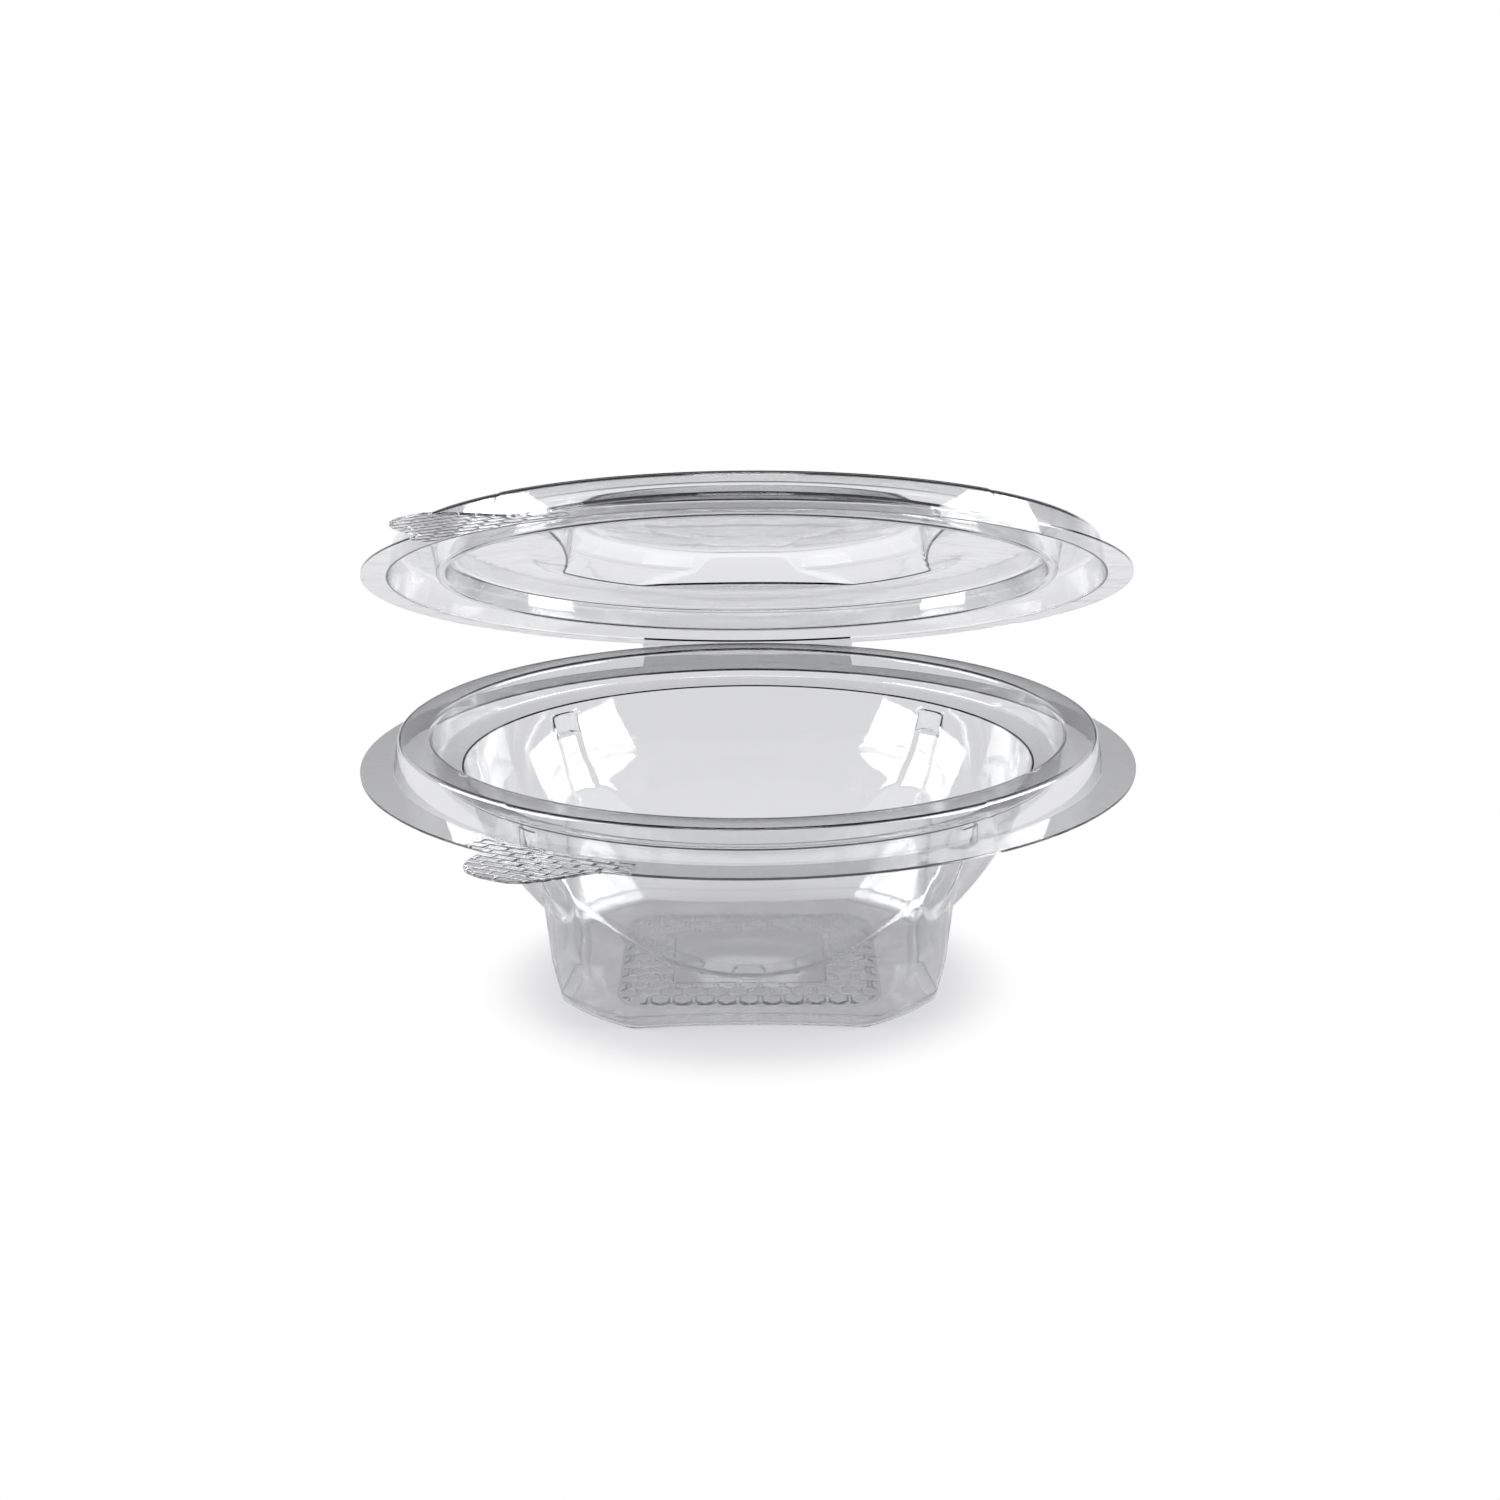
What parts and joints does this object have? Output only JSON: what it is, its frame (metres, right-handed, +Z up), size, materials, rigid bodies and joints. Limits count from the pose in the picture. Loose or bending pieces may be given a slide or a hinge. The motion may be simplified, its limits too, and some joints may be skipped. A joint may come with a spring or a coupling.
{
  "type": "round plastic container",
  "caption": "Clear round food bowl on a square foot, with a domed snap lid joined at the back by a folding strip of the same sheet.",
  "frame": {"origin": "centre of the foot, on the surface the container stands on", "axes": "+Z up along the axis of the bowl, +Y toward the hinge, -Y toward the front, +X to the right seen from the front"},
  "size_m": [0.13, 0.138, 0.0935],
  "materials": {
    "bowl_sheet": "clear gloss",
    "lid_sheet": "clear gloss"
  },
  "bodies": {
    "bowl": {"bowl": "bowl_sheet"},
    "lid": {"lid": "lid_sheet"}
  },
  "joints": [
    {"name": "lid_hinge", "type": "hinge", "parent": "bowl", "child": "lid", "pos_m": [0, 0.072, 0.03775], "axis": [-1, 0, 0], "range_deg": [-22.5, 157.5]}
  ]
}
